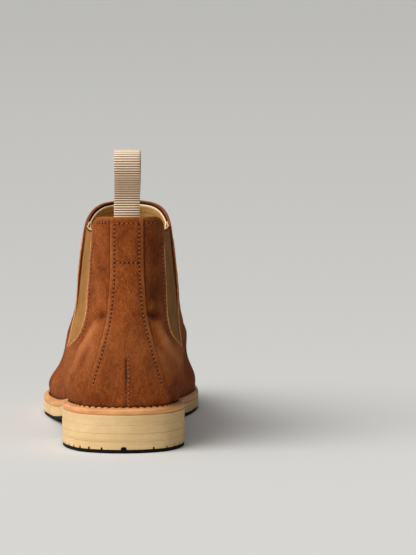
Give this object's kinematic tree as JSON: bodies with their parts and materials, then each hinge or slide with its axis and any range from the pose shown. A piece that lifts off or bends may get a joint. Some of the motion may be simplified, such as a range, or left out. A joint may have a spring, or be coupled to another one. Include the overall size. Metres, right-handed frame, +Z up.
{
  "type": "chelsea boot",
  "caption": "Left suede chelsea boot with elastic side gores, a webbing pull tab that folds at the back of the topline, a stitched welt and a layered heeled sole.",
  "frame": {"origin": "centre of the boot's box at ground level", "axes": "+Y from the heel to the toe, +X towards the inner side of the foot, +Z up"},
  "size_m": [0.1094, 0.3001, 0.196],
  "materials": {
    "suede": "suede with a short nap, warm brown",
    "elastic": "ribbed elastic, tan",
    "webbing": "ribbed grosgrain webbing, pale beige",
    "lining_leather": "smooth golden tan lining leather",
    "stiffener": "stiff resin-filled fibre sheet",
    "footbed_foam": "leather-covered foam",
    "board": "cellulose insole board",
    "steel": "tempered steel strip",
    "cork": "ground cork",
    "welt_leather": "smooth tan leather with a satin edge",
    "cream_rubber": "matte cream crepe-like rubber",
    "black_rubber": "matte black rubber",
    "brown_thread": "waxed brown thread",
    "pale_thread": "waxed natural thread"
  },
  "bodies": {
    "boot": {"vamp": "suede", "quarter_lateral": "suede", "quarter_medial": "suede", "backstay": "suede", "gore_lateral": "elastic", "gore_medial": "elastic", "pull_tab_anchor": "webbing", "vamp_lining": "lining_leather", "quarter_lining": "lining_leather", "toe_puff": "stiffener", "heel_counter": "stiffener", "footbed": "footbed_foam", "insole_board": "board", "shank": "steel", "cork_filler": "cork", "welt": "welt_leather", "midsole": "cream_rubber", "heel_wedge": "cream_rubber", "heel_lift_upper": "cream_rubber", "heel_lift_lower": "cream_rubber", "heel_tread": "black_rubber", "forefoot_tread": "black_rubber", "backstay_stitching": "brown_thread", "heel_seam_stitching": "brown_thread", "gore_stitching": "brown_thread", "topline_stitching": "brown_thread", "side_seam_stitching": "brown_thread", "welt_stitching": "pale_thread"},
    "pull_tab": {"pull_tab_loop": "webbing"}
  },
  "joints": [
    {"name": "pull_tab_fold", "type": "hinge", "parent": "boot", "child": "pull_tab", "pos_m": [0.00363, -0.13275, 0.1545], "axis": [1, 0, 0], "range_deg": [-65, 90], "stiffness_Nm_per_rad": 0.01}
  ]
}
